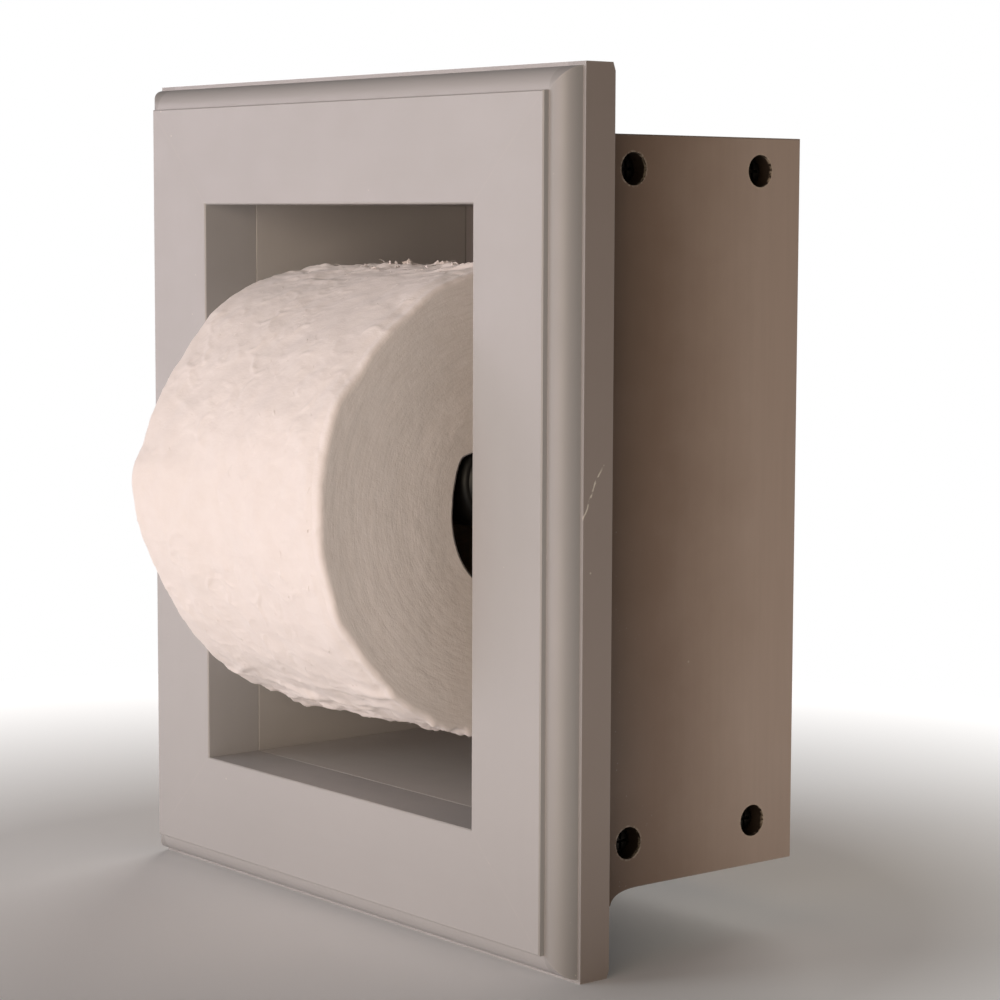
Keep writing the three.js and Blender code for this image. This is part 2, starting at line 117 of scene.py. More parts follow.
class Shader:
    """Builds a material's nodes, with one method for each kind that is used here."""

    def __init__(self, name):
        self.material = bpy.data.materials.new(name)
        self.material.use_nodes = True
        self.tree = self.material.node_tree
        self.tree.nodes.clear()
        self.surface = self.add("ShaderNodeBsdfPrincipled")
        output = self.add("ShaderNodeOutputMaterial")
        self.tree.links.new(self.surface.outputs[0], output.inputs["Surface"])
        self.place = self.add("ShaderNodeTexCoord").outputs["Object"]

    def add(self, kind, **settings):
        node = self.tree.nodes.new(kind)
        for key, value in settings.items():
            setattr(node, key, value)
        return node

    def put(self, socket, value):
        """A socket's value: a link from another node, or a number or colour."""
        if isinstance(value, bpy.types.NodeSocket):
            self.tree.links.new(value, socket)
        elif hasattr(socket.default_value, "__len__") and len(socket.default_value) == 4:
            socket.default_value = (*value[:3], 1.0)
        else:
            socket.default_value = value

    def set(self, **inputs):
        for key, value in inputs.items():
            self.put(self.surface.inputs[key.replace("_", " ")], value)

    def stretched(self, scale):
        node = self.add("ShaderNodeMapping")
        self.put(node.inputs["Vector"], self.place)
        node.inputs["Scale"].default_value = scale
        return node.outputs[0]

    def noise(self, scale, detail=2.0, roughness=0.5, vector=None, distortion=0.0):
        node = self.add("ShaderNodeTexNoise")
        self.put(node.inputs["Vector"], self.place if vector is None else vector)
        node.inputs["Scale"].default_value = scale
        node.inputs["Detail"].default_value = detail
        node.inputs["Roughness"].default_value = roughness
        node.inputs["Distortion"].default_value = distortion
        return node.outputs[0]

    def spots(self, scale):
        node = self.add("ShaderNodeTexVoronoi")
        self.put(node.inputs["Vector"], self.place)
        node.inputs["Scale"].default_value = scale
        return node.outputs["Distance"]

    def ramp(self, value, low, high, out_low=0.0, out_high=1.0):
        node = self.add("ShaderNodeMapRange", clamp=True)
        self.put(node.inputs["Value"], value)
        limits = {"From Min": low, "From Max": high, "To Min": out_low, "To Max": out_high}
        for key, number in limits.items():
            node.inputs[key].default_value = number
        return node.outputs[0]

    def math(self, operation, a, b=0.0):
        node = self.add("ShaderNodeMath", operation=operation)
        self.put(node.inputs[0], a)
        self.put(node.inputs[1], b)
        return node.outputs[0]

    def times(self, a, b):
        return self.math("MULTIPLY", a, b)

    def plus(self, a, b):
        return self.math("ADD", a, b)

    def mix(self, share, a, b):
        node = self.add("ShaderNodeMix", data_type="RGBA")
        self.put(node.inputs[0], share)
        self.put(node.inputs[6], a)
        self.put(node.inputs[7], b)
        return node.outputs[2]

    def axis(self, vector, name):
        node = self.add("ShaderNodeSeparateXYZ")
        self.put(node.inputs[0], vector)
        return node.outputs[name]

    def normal_axis(self, name):
        return self.axis(self.add("ShaderNodeNewGeometry").outputs["True Normal"], name)

    def bump(self, height, distance, strength):
        node = self.add("ShaderNodeBump")
        self.put(node.inputs["Height"], height)
        node.inputs["Distance"].default_value = distance
        node.inputs["Strength"].default_value = strength
        return node.outputs[0]

    def edges(self, radius):
        """1 on flat ground, less within `radius` of a convex or concave edge."""
        bevel = self.add("ShaderNodeBevel", samples=4)
        bevel.inputs["Radius"].default_value = radius
        geometry = self.add("ShaderNodeNewGeometry")
        dot = self.add("ShaderNodeVectorMath", operation="DOT_PRODUCT")
        self.put(dot.inputs[0], bevel.outputs[0])
        self.put(dot.inputs[1], geometry.outputs["Normal"])
        return dot.outputs["Value"]


GRAIN_SCALE = {"x": (0.06, 1, 1), "y": (1, 0.06, 1), "z": (1, 1, 0.06)}
PAINT = (0.470, 0.460, 0.456)
INNER_PAINT = (0.575, 0.555, 0.535)
# Darker than the other paint, in place of shade that these lights don't give.
NICHE_BACK_PAINT = (0.330, 0.305, 0.285)
# Painted shade: the face frame's outer side faces, darker and warmer than its front.
SIDE_FACE_SHADE = (0.375, 0.316, 0.288)
# The thin browner coat on the box's sides, with painted shade close to the frame and painted light
# to the rear: depth behind the frame in metres, and its colour there.
COAT_AND_FRAME_SHADE = (
    (0.004, (0.200, 0.129, 0.083)),
    (0.032, (0.330, 0.225, 0.170)),
    (0.070, (0.565, 0.438, 0.365)),
)
# Painted shade for the walls and floors of the screws' counterbores.
COUNTERBORE_SHADE = (0.030, 0.020, 0.014)

# Soft steps in |x|, in metres: the face frame's outer edges, its moulding, the box's outside.
OUTER_EDGE = (0.1020, 0.1024)
MOULDING = (0.0950, 0.0953)
BOX_OUTSIDE = (0.0835, 0.0843)

# The screws' counterbores. Their places are (y, z), and the soft steps are distances from an axis.
HOLE_RADIUS = 0.0047
HOLE_WALL = (0.0044, 0.0040)
HOLE_RIM_OUTER = (0.0052, 0.0047)
HOLE_RIM_INNER = (0.0044, 0.0046)
HOLE_PLACES = [
    tuple(sum(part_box(f"screw_right_{row}_{number}"), Vector()) / 2)[1:]
    for row in ("top", "bottom")
    for number in (1, 2)
]

# The scratch passes through (y, z), leans, and ends at a low and a high z.
SCRATCH = {"y": -0.0085, "z": 0.008, "lean": 0.50, "low": -0.004, "high": 0.0165}
STILE_SIDE = (0.1022, 0.1025)


def satin_paint(s, grain, paint=PAINT):
    """Colour, roughness and height of brushed satin paint over planed wood."""
    fibres = s.noise(420, 4, 0.6, s.stretched(GRAIN_SCALE[grain]))
    strokes = s.noise(150, 3, 0.55, s.stretched(GRAIN_SCALE[grain]))
    stipple = s.noise(1500, 2, 0.5)
    patches = s.noise(16, 3, 0.55)
    pores = s.ramp(s.noise(260, 2, 0.5, s.stretched(GRAIN_SCALE[grain])), 0.62, 0.72)
    colour = s.mix(s.ramp(patches, 0.3, 0.7), paint, [0.97 * c for c in paint])
    colour = s.mix(s.ramp(strokes, 0.35, 0.7, 0.0, 0.10), colour, [0.86 * c for c in paint])
    height = s.plus(s.times(fibres, 0.45), s.times(stipple, 0.30))
    height = s.plus(height, s.times(strokes, 0.5))
    height = s.math("SUBTRACT", height, s.times(pores, 0.25))
    roughness = s.ramp(s.noise(90, 3, 0.6), 0.3, 0.7, 0.38, 0.50)
    return colour, roughness, height


def frame_paint(name, grain, paint=PAINT):
    """The face frame: even satin greige, with painted shade that makes its narrow outer edges warmer and
    darker and its moulding darker, with rubbed arrises, pale specks, and a scratch on the side of the
    right stile."""
    s = Shader(name)
    colour, roughness, height = satin_paint(s, grain, paint)
    side_face = s.ramp(s.math("ABSOLUTE", s.normal_axis("X")), 0.75, 0.95)
    sideways = s.math("ABSOLUTE", s.axis(s.place, "X"))
    # Painted shade on the outer side faces.
    outer_edge = s.times(side_face, s.ramp(sideways, *OUTER_EDGE))
    colour = s.mix(outer_edge, colour, SIDE_FACE_SHADE)
    # Painted shade: the moulding is coloured darker.
    moulding = s.ramp(sideways, *MOULDING)
    moulding = s.times(moulding, s.math("SUBTRACT", 1.0, outer_edge))
    colour = s.mix(s.times(moulding, 0.30), colour, (0.26, 0.25, 0.24))
    rubbed = s.ramp(s.edges(0.0006), 0.985, 0.80)
    patchy = s.ramp(s.noise(120, 3, 0.6), 0.35, 0.65, 0.25, 0.9)
    rubbed = s.times(rubbed, s.times(patchy, 0.35))
    colour = s.mix(rubbed, colour, (0.62, 0.575, 0.54))
    specks = s.times(s.ramp(s.spots(230), 0.085, 0.05), s.ramp(s.noise(60, 2), 0.60, 0.66))
    colour = s.mix(s.times(specks, 0.7), colour, (0.70, 0.66, 0.60))
    if name == "paint_right_stile":
        scratch = scratch_mask(s)
        colour = s.mix(scratch, colour, (0.80, 0.74, 0.66))
        height = s.math("SUBTRACT", height, s.times(scratch, 1.2))
    s.set(Base_Color=colour, Roughness=roughness, Normal=s.bump(height, 0.00006, 0.55))
    return s.material


def scratch_mask(s):
    """A thin broken scratch that leans across the stile's outer face."""
    y, z = s.axis(s.place, "Y"), s.axis(s.place, "Z")
    wander = s.times(s.math("SUBTRACT", s.noise(170, 2), 0.5), 0.0022)
    line = s.times(s.math("SUBTRACT", z, SCRATCH["z"]), SCRATCH["lean"])
    line = s.plus(line, SCRATCH["y"])
    off = s.math("ABSOLUTE", s.math("SUBTRACT", s.math("SUBTRACT", y, line), wander))
    thin = s.ramp(off, 0.00042, 0.00012)
    ends = s.times(
        s.ramp(z, SCRATCH["low"], SCRATCH["low"] + 0.002),
        s.ramp(z, SCRATCH["high"], SCRATCH["high"] - 0.002),
    )
    broken = s.ramp(s.noise(900, 2), 0.38, 0.5)
    on_side = s.ramp(s.axis(s.place, "X"), *STILE_SIDE)
    return s.times(s.times(thin, ends), s.times(broken, on_side))


def holes_mask(s, radius, places):
    """The distance to the nearest hole's axis, for holes along X at (y, z) places, and a mask that
    is 1 within `radius` of it."""
    flat = s.add("ShaderNodeVectorMath", operation="MULTIPLY")
    s.put(flat.inputs[0], s.place)
    flat.inputs[1].default_value = (0, 1, 1)
    nearest = None
    for y, z in places:
        gap = s.add("ShaderNodeVectorMath", operation="DISTANCE")
        s.put(gap.inputs[0], flat.outputs[0])
        gap.inputs[1].default_value = (0, y, z)
        gap = gap.outputs["Value"]
        nearest = gap if nearest is None else s.math("MINIMUM", nearest, gap)
    return nearest, s.ramp(nearest, radius + 0.0002, radius)


def box_side_paint(name, side):
    """A box side: pale paint inside with painted shade low down, and outside a thin browner coat with
    painted shade close to the frame and painted light to the rear, dust close to the frame, painted
    shade in its counterbores and painted highlights in pale ragged rims round them."""
    s = Shader(name)
    colour, roughness, height = satin_paint(s, "z", INNER_PAINT)
    outwards = s.times(s.normal_axis("X"), side)
    outer_face = s.ramp(s.times(s.axis(s.place, "X"), side), *BOX_OUTSIDE)
    y, z = s.axis(s.place, "Y"), s.axis(s.place, "Z")
    mottle = s.noise(42, 4, 0.6)
    fibres = s.noise(420, 4, 0.6, s.stretched(GRAIN_SCALE["z"]))
    depth = s.plus(y, s.times(s.math("SUBTRACT", mottle, 0.5), 0.018))
    (y0, near_shaded_coat), (y1, middle_shaded_coat), (y2, rear_lit_coat) = COAT_AND_FRAME_SHADE
    # Painted shade near the frame and painted light to the rear, in the browner coat's colour.
    thin = s.mix(s.ramp(depth, y0, y1), near_shaded_coat, middle_shaded_coat)
    thin = s.mix(s.ramp(depth, y1, y2), thin, rear_lit_coat)
    thin = s.mix(s.ramp(fibres, 0.4, 0.8, 0.0, 0.07), thin, (0.20, 0.14, 0.10))
    # Painted shade on the inner faces, darker low down.
    shade = s.times(s.ramp(z, -0.045, -0.085, 0.0, 0.22), s.ramp(outwards, -0.5, -0.8))
    colour = s.mix(shade, colour, (0.20, 0.18, 0.16))
    low_down = s.ramp(z, 0.0, -0.10, 0.12, 1.0)
    near_frame = s.ramp(depth, 0.040, 0.006)
    dust_spots = s.ramp(s.spots(560), 0.15, 0.05)
    sparse = s.ramp(s.noise(240, 1), 0.50, 0.60)
    dusty = s.times(near_frame, low_down)
    dust = s.times(s.times(dust_spots, sparse), dusty)
    stray = s.times(s.ramp(s.spots(150), 0.06, 0.035), s.ramp(s.noise(50, 2), 0.60, 0.66))
    dust = s.times(s.math("MAXIMUM", dust, s.times(stray, 0.6)), outer_face)
    colour = s.mix(outer_face, colour, thin)
    colour = s.mix(dust, colour, (0.62, 0.54, 0.46))
    rubbed = s.times(s.ramp(s.edges(0.0005), 0.985, 0.80), outer_face)
    colour = s.mix(s.times(rubbed, 0.30), colour, (0.56, 0.47, 0.38))
    nearest, in_hole = holes_mask(s, HOLE_RADIUS, HOLE_PLACES)
    sideways = s.ramp(s.math("ABSOLUTE", outwards), 0.6, 0.4)
    # Painted shade inside the counterbores.
    hole_shade = s.times(in_hole, s.math("MAXIMUM", sideways, s.ramp(nearest, *HOLE_WALL)))
    colour = s.mix(hole_shade, colour, COUNTERBORE_SHADE)
    # Painted highlight: pale ragged rims round the mouths of the counterbores.
    mouth = s.times(s.ramp(nearest, *HOLE_RIM_OUTER), s.ramp(nearest, *HOLE_RIM_INNER))
    ragged = s.ramp(s.noise(900, 3, 0.6), 0.44, 0.58)
    mouth = s.times(s.times(mouth, ragged), outer_face)
    colour = s.mix(s.times(mouth, 0.8), colour, (0.66, 0.54, 0.42))
    roughness = s.plus(roughness, s.times(outer_face, -0.08))
    height = s.plus(height, s.times(dust, 0.8))
    s.set(Base_Color=colour, Roughness=roughness, Normal=s.bump(height, 0.00006, 0.55))
    return s.material


def back_panel_paint():
    """Thin plywood: painted on the face that closes the niche, bare behind and on its edges."""
    s = Shader("paint_back_panel")
    colour, _, height = satin_paint(s, "z", NICHE_BACK_PAINT)
    rings = s.noise(38, 4, 0.6, s.stretched((1, 1, 0.12)), 1.2)
    pores = s.noise(900, 3, 0.6, s.stretched((1, 1, 0.03)))
    bare = s.mix(s.ramp(rings, 0.35, 0.65), (0.52, 0.37, 0.22), (0.40, 0.26, 0.14))
    bare = s.mix(s.ramp(pores, 0.55, 0.75, 0.0, 0.5), bare, (0.25, 0.15, 0.075))
    painted = s.ramp(s.normal_axis("Y"), -0.5, -0.8)
    s.set(Base_Color=s.mix(painted, bare, colour))
    s.set(Roughness=s.mix(painted, (0.7, 0.7, 0.7), (0.45, 0.45, 0.45)))
    s.set(Normal=s.bump(s.mix(painted, pores, height), 0.00007, 0.5))
    return s.material


def metal(name, light, dark, roughness):
    s = Shader(name)
    tarnish = s.noise(260, 4, 0.6)
    s.set(Base_Color=s.mix(s.ramp(tarnish, 0.35, 0.7), light, dark), Metallic=1.0)
    s.set(Roughness=s.ramp(tarnish, 0.3, 0.7, roughness, roughness + 0.15))
    s.set(Normal=s.bump(s.noise(2500, 2), 0.00001, 0.4))
    return s.material


def black_plastic():
    s = Shader("black_plastic")
    haze = s.noise(140, 4, 0.6)
    scuffs = s.noise(900, 3, 0.7, s.stretched((1, 0.1, 0.1)))
    colour = s.mix(s.ramp(haze, 0.4, 0.7), (0.006, 0.005, 0.005), (0.012, 0.011, 0.010))
    s.set(Base_Color=colour, Roughness=s.ramp(haze, 0.3, 0.7, 0.38, 0.50))
    s.set(Normal=s.bump(scuffs, 0.00001, 0.3))
    return s.material


def cardboard():
    s = Shader("cardboard")
    fibre = s.noise(700, 4, 0.7, s.stretched((0.3, 1, 1)))
    # Brown cardboard colour, darkened as painted shade for the inside of the core.
    colour = s.mix(s.ramp(fibre, 0.35, 0.7), (0.25, 0.17, 0.10), (0.18, 0.12, 0.07))
    s.set(Base_Color=colour, Roughness=0.9, Normal=s.bump(fibre, 0.00006, 0.6))
    return s.material


def tissue():
    """Soft white tissue: matt, with crepe lines across the sheet, fibre mottling, and on the end
    faces the fine streaks of the wound turns."""
    s = Shader("tissue")
    mottle = s.noise(160, 5, 0.6)
    crepe = s.noise(1500, 2, 0.5, s.stretched((0.3, 1, 1)))
    from_axis = s.add("ShaderNodeVectorMath", operation="SUBTRACT")
    s.put(from_axis.inputs[0], s.place)
    from_axis.inputs[1].default_value = ROLL_CENTRE
    y, z = s.axis(from_axis.outputs[0], "Y"), s.axis(from_axis.outputs[0], "Z")
    radius = s.math("SQRT", s.plus(s.times(y, y), s.times(z, z)))
    polar = s.add("ShaderNodeCombineXYZ")
    s.put(polar.inputs[0], radius)
    s.put(polar.inputs[1], s.times(s.math("ARCTAN2", y, z), 0.006))
    turns = s.noise(1500, 3, 0.6, polar.outputs[0])
    end_face = s.ramp(s.math("ABSOLUTE", s.normal_axis("X")), 0.7, 0.95)
    colour = s.mix(s.ramp(mottle, 0.35, 0.7), (0.89, 0.825, 0.79), (0.92, 0.86, 0.83))
    streaks = s.times(s.ramp(turns, 0.42, 0.68, 0.0, 0.30), end_face)
    colour = s.mix(streaks, colour, (0.70, 0.63, 0.58))
    s.set(Base_Color=colour, Roughness=0.95, Specular_IOR_Level=0.2)
    s.set(Sheen_Weight=0.2, Sheen_Roughness=0.6)
    fibre = s.noise(2600, 3, 0.7)
    pills = s.noise(620, 3, 0.6)
    height = s.plus(s.times(crepe, 0.6), s.times(fibre, 0.5))
    height = s.plus(height, s.times(pills, 0.9))
    height = s.plus(height, s.times(s.times(turns, end_face), 0.8))
    s.set(Normal=s.bump(height, 0.00011, 0.7))
    return s.material


def fluff():
    """Loose tissue fibres, without the sheet's relief."""
    s = Shader("tissue_fluff")
    s.set(Base_Color=(0.93, 0.87, 0.84), Roughness=0.95, Specular_IOR_Level=0.2)
    return s.material


# ---- CAD nodes: better materials, smooth round faces ------------------------------------------


SHARP_ANGLE = 32


def smooth_by_angle():
    """A modifier's node group that shades smooth, apart from edges sharper than SHARP_ANGLE."""
    group = bpy.data.node_groups.new("smooth_by_angle", "GeometryNodeTree")
    group.interface.new_socket("Geometry", in_out="INPUT", socket_type="NodeSocketGeometry")
    group.interface.new_socket("Geometry", in_out="OUTPUT", socket_type="NodeSocketGeometry")
    nodes, links = group.nodes, group.links
    start, end = nodes.new("NodeGroupInput"), nodes.new("NodeGroupOutput")
    merge = nodes.new("GeometryNodeMergeByDistance")
    merge.inputs["Distance"].default_value = 2e-6
    faces = nodes.new("GeometryNodeSetShadeSmooth")
    faces.domain = "FACE"
    sharp = nodes.new("GeometryNodeSetShadeSmooth")
    sharp.domain = "EDGE"
    sharp.inputs["Shade Smooth"].default_value = False
    angle = nodes.new("GeometryNodeInputMeshEdgeAngle")
    limit = nodes.new("FunctionNodeCompare")
    limit.data_type, limit.operation = "FLOAT", "GREATER_THAN"
    limit.inputs[1].default_value = math.radians(SHARP_ANGLE)
    links.new(start.outputs[0], merge.inputs["Geometry"])
    links.new(merge.outputs[0], faces.inputs["Geometry"])
    links.new(faces.outputs[0], sharp.inputs["Geometry"])
    links.new(angle.outputs["Unsigned Angle"], limit.inputs[0])
    links.new(limit.outputs[0], sharp.inputs["Selection"])
    links.new(sharp.outputs[0], end.inputs[0])
    return group


SMOOTH = smooth_by_angle()


def dress(node_name, material):
    """Gives a CAD node its material, and shades its round faces smooth."""
    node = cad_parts[node_name]
    if not node.material_slots:
        node.data.materials.append(None)
    for material_slot in node.material_slots:
        material_slot.link = "OBJECT"
        material_slot.material = material
    modifier = node.modifiers.new("smooth", "NODES")
    modifier.node_group = SMOOTH


rail_paint = frame_paint("paint_rails", "x")
board_paint = frame_paint("paint_boards", "x", INNER_PAINT)
for rail in ("frame_top_rail", "frame_bottom_rail"):
    dress(rail, rail_paint)
for board in ("box_top_board", "box_bottom_board"):
    dress(board, board_paint)
dress("frame_left_stile", frame_paint("paint_left_stile", "z"))
dress("frame_right_stile", frame_paint("paint_right_stile", "z"))
dress("box_right_side", box_side_paint("paint_box_right", 1))
dress("box_left_side", box_side_paint("paint_box_left", -1))
dress("box_back_panel", back_panel_paint())
screw_metal = metal("black_phosphate", (0.05, 0.045, 0.04), (0.015, 0.013, 0.012), 0.32)
nail_metal = metal("nail_steel", (0.55, 0.55, 0.56), (0.32, 0.31, 0.30), 0.3)
spring_metal = metal("spring_steel", (0.6, 0.6, 0.6), (0.45, 0.45, 0.46), 0.22)
for node_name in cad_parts:
    if node_name.startswith("screw_"):
        dress(node_name, screw_metal)
    elif "nail_" in node_name:
        dress(node_name, nail_metal)


# ---- Roller ----------------------------------------------------------------------------------


def turned(name, outline, centre, sides, material):
    """A closed solid of revolution about X through centre, from [x, radius] points in metres."""
    outline = np.array(outline, float)
    turn = np.linspace(0, 2 * math.pi, sides, endpoint=False)
    points = []
    for x, radius in outline:
        ring = np.stack([np.full(sides, x), radius * np.cos(turn), radius * np.sin(turn)], 1)
        points.append(ring + np.array([0, centre[1], centre[2]]))
    faces = list(grid_faces(len(outline), sides, closed_columns=True))
    count = len(outline) * sides
    points = list(np.concatenate(points))
    for ring_start, x in ((0, outline[0][0]), (count - sides, outline[-1][0])):
        points.append([x, centre[1], centre[2]])
        for a in range(sides):
            b = (a + 1) % sides
            corner = [ring_start + a, ring_start + b, len(points) - 1]
            faces.append(corner if ring_start == 0 else corner[::-1])
    return add_object(name, points, faces, material)


def arc(centre_x, centre_r, radius, start, end, steps):
    """Points on an arc of an outline, angles in degrees from +x towards +radius."""
    turn = np.radians(np.linspace(start, end, steps))
    return [[centre_x + radius * math.cos(t), centre_r + radius * math.sin(t)] for t in turn]


NECK_RADIUS, NECK_FROM, NECK_TO = 11 * MM, 36.5 * MM, 42 * MM
PIN_RADIUS, PIN_LENGTH = 4.5 * MM, 7 * MM
TUBE_WALL, NECK_WALL, END_WALL = 1.75 * MM, 1.5 * MM, 2.5 * MM
MOUTH_ROUND, SHOULDER_ROUND, PIN_ROUND = 0.6 * MM, 2.0 * MM, 1.2 * MM
GROOVES_FROM_MOUTH = (4 * MM, 7 * MM)
GROOVE_DEPTH = 0.3 * MM


def roller_half(node_name, side, body):
    """A moulded roller half that replaces its CAD node: an open tube with round edges, two fine
    grooves near its mouth and an end pin. The sleeve, at +X, narrows to a neck."""
    low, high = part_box(node_name)
    centre = (low + high) / 2
    radius = (high.z - low.z) / 2
    tip = max(abs(low.x), abs(high.x))
    mouth = min(side * low.x, side * high.x)
    shoulder = tip - PIN_LENGTH
    bore = radius - TUBE_WALL
    floor = shoulder - END_WALL
    neck = NECK_RADIUS if side > 0 else radius
    end_bore = neck - NECK_WALL
    outline = [[floor, 0.0002], [floor, end_bore - MM]]
    outline += arc(floor - MM, end_bore - MM, MM, 0, 90, 4)
    if side > 0:
        outline += [[NECK_FROM - 8 * MM, end_bore], [NECK_FROM - 9 * MM, bore]]
    outline += [[mouth + MOUTH_ROUND, bore]]
    outline += arc(mouth + MOUTH_ROUND, radius - MOUTH_ROUND, MOUTH_ROUND, 180, 90, 5)
    for groove in GROOVES_FROM_MOUTH:
        for x, depth in ((-2, 0), (-1, 1), (1, 1), (2, 0)):
            outline.append([mouth + groove + x * GROOVE_DEPTH, radius - depth * GROOVE_DEPTH])
    if side > 0:
        for turn in np.radians(np.linspace(0, 90, 14)):
            x = NECK_FROM + (NECK_TO - NECK_FROM) * math.sin(turn)
            outline.append([x, neck + (radius - neck) * math.cos(turn)])
    outline += arc(shoulder - SHOULDER_ROUND, neck - SHOULDER_ROUND, SHOULDER_ROUND, 90, 0, 8)
    outline += [[shoulder, PIN_RADIUS + 1.6 * MM]]
    outline += arc(shoulder + PIN_ROUND, PIN_RADIUS + PIN_ROUND, PIN_ROUND, 180, 270, 5)
    outline += [*arc(tip - PIN_ROUND, PIN_RADIUS - PIN_ROUND, PIN_ROUND, 90, 0, 6), [tip, 0.0002]]
    outline = [[side * x, r] for x, r in outline]
    if side > 0:
        outline = outline[::-1]
    piece = turned(node_name + "_moulding", outline, centre, 96, plastic)
    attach(piece, body)
    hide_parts(node_name)
    return piece


plastic = black_plastic()
roller_half("roller_sleeve", 1, "roller")
roller_half("roller_plunger", -1, "plunger")


def coil_spring():
    """The spring in the roller: a round wire coil whose end turns lie close, between the sleeve and the
    plunger."""
    low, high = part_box("roller_spring")
    centre = (low + high) / 2
    wire, turns, per_turn, sides = 0.7 * MM, 14, 40, 10
    radius = (high.z - low.z) / 2 - wire
    first, last = low.x + wire, high.x - wire
    close_turns, close_length = 1.2, 2.0 * MM
    count = turns * per_turn + 1
    turn = np.linspace(0, turns, count)
    x = np.interp(
        turn,
        [0, close_turns, turns - close_turns, turns],
        [first, first + close_length, last - close_length, last],
    )
    angle = 2 * math.pi * turn
    path = np.stack([x, centre.y + radius * np.cos(angle), centre.z + radius * np.sin(angle)], 1)
    along = np.gradient(path, axis=0)
    along /= np.linalg.norm(along, axis=1, keepdims=True)
    radial = np.stack([np.zeros(count), np.cos(angle), np.sin(angle)], 1)
    side = np.cross(along, radial)
    rings = []
    for k in range(sides):
        a = 2 * math.pi * k / sides
        rings.append(path + wire * (math.cos(a) * radial + math.sin(a) * side))
    points = np.stack(rings, 1).reshape(-1, 3)
    faces = grid_faces(count, sides, closed_columns=True).tolist()
    faces.append(list(range(sides)))
    faces.append(list(range(len(points) - sides, len(points)))[::-1])
    faces = [face[::-1] for face in faces]
    piece = add_object("roller_coil_spring", points, faces, spring_metal)
    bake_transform(piece)
    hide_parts("roller_spring")


coil_spring()


# ---- Paper roll ------------------------------------------------------------------------------

paper_low, paper_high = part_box("paper_roll")
core_low, core_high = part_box("roll_core")
ROLL_CENTRE = (paper_low + paper_high) / 2
ROLL_RADIUS = (paper_high.z - paper_low.z) / 2
ROLL_HALF = (paper_high.x - paper_low.x) / 2
CORE_OUTER = (core_high.z - core_low.z) / 2
CORE_WALL = 0.8 * MM
CORE_RECESS = 1.6 * MM
AROUND = 576  # points round the roll

# How far the soft roll is out of round, in mm at an angle in degrees: 0 faces the front and 90 is
# the top. The near end is at +X, and the core's bore is only ever wider than its tube. A helper
# script worked these three out from points read off the photo, and a few were changed by hand.
NEAR_END = ((-170, 0.0), (-79, 0.6), (-57, 0.7), (-37, -0.5), (-22, -0.3), (-5, 0.1), (12, 0.2),
            (22, 0.9), (30, 0.5), (45, -0.7), (56, -1.5), (68, -0.1), (80, 0.4), (97, 1.3), (130, 0.3))
FAR_END = ((-170, 0.2), (-79, 0.3), (-69, 0.4), (-49, -0.7), (-31, -0.9), (-20, -0.6), (0, 0.2),
           (15, 0.6), (29, -0.6), (38, -0.4), (50, 0.7), (65, 0.3), (80, -0.4), (97, -0.7), (130, -0.2))
BORE = ((-150, 0.2), (-100, 1.6), (-60, 3.1), (-30, 0.5), (-15, 0.0), (22, 0.0), (40, 2.1), (54, 0.0),
        (110, 0.0), (160, 0.3))
# How far the near end's paper is pushed in over the core's end, at the mouth of the bore.
MOUTH = ((-180, 0.0), (-30, 0.0), (-12, 0.6), (2, 1.2), (24, 0.7), (38, 1.4), (50, 1.9), (75, 1.6),
         (110, 0.0))


def around(table, angle):
    """Smooth periodic values through a table of (degrees, mm), at angles in radians."""
    table = np.array(sorted(table), float)
    degrees = np.concatenate([table[:, 0] - 360, table[:, 0], table[:, 0] + 360])
    values = np.tile(table[:, 1], 3)
    fine = np.arange(-180, 180, 1.0)
    straight = np.interp(fine, degrees, values)
    window = np.hanning(13)
    rounded = np.convolve(np.tile(straight, 3), window / window.sum(), "same")[360:720]
    at = (np.degrees(angle) + 180) % 360
    low = np.floor(at).astype(int) % 360
    return MM * (rounded[low] * (1 - at % 1) + rounded[(low + 1) % 360] * (at % 1))


